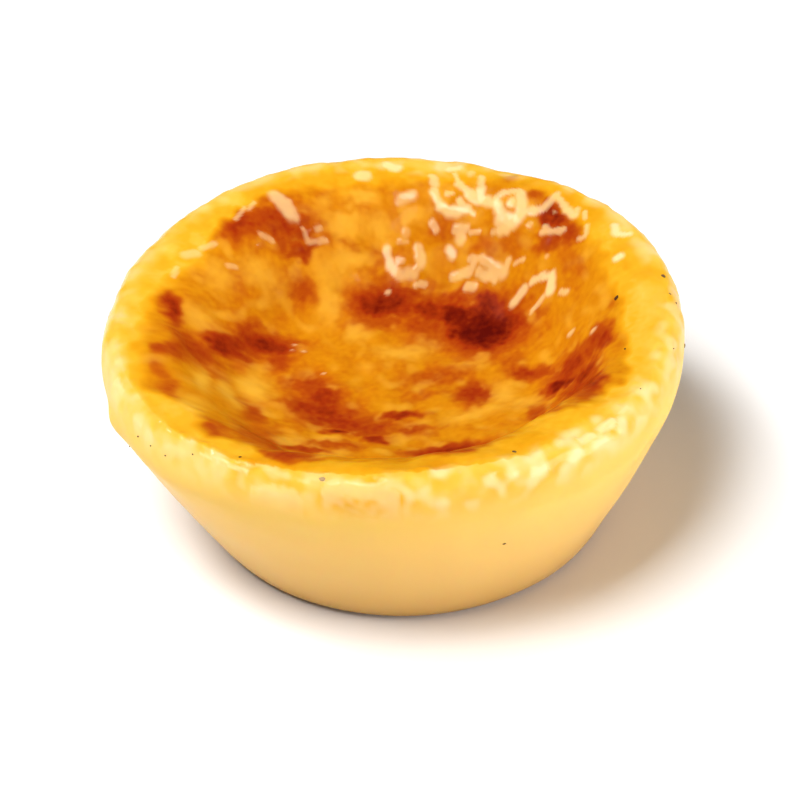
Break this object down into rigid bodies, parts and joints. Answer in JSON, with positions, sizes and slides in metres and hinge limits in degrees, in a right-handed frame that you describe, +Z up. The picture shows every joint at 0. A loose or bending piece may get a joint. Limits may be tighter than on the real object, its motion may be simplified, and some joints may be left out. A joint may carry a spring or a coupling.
{
  "type": "milk custard tartlet",
  "caption": "Round custard tartlet baked without a pastry case: flared wall, flat base, soft uneven lip and a sunken, blistered, browned top.",
  "frame": {"origin": "on the table level, under the middle of the outline's box", "axes": "+Z up from the flat base to the sunken top, -Y towards the side that faces the picture's camera, +X to its right"},
  "size_m": [0.074, 0.074, 0.0305],
  "materials": {
    "custard": "moist satin wall, glossy browned top"
  },
  "bodies": {
    "root": {"tartlet": "custard"}
  },
  "joints": []
}
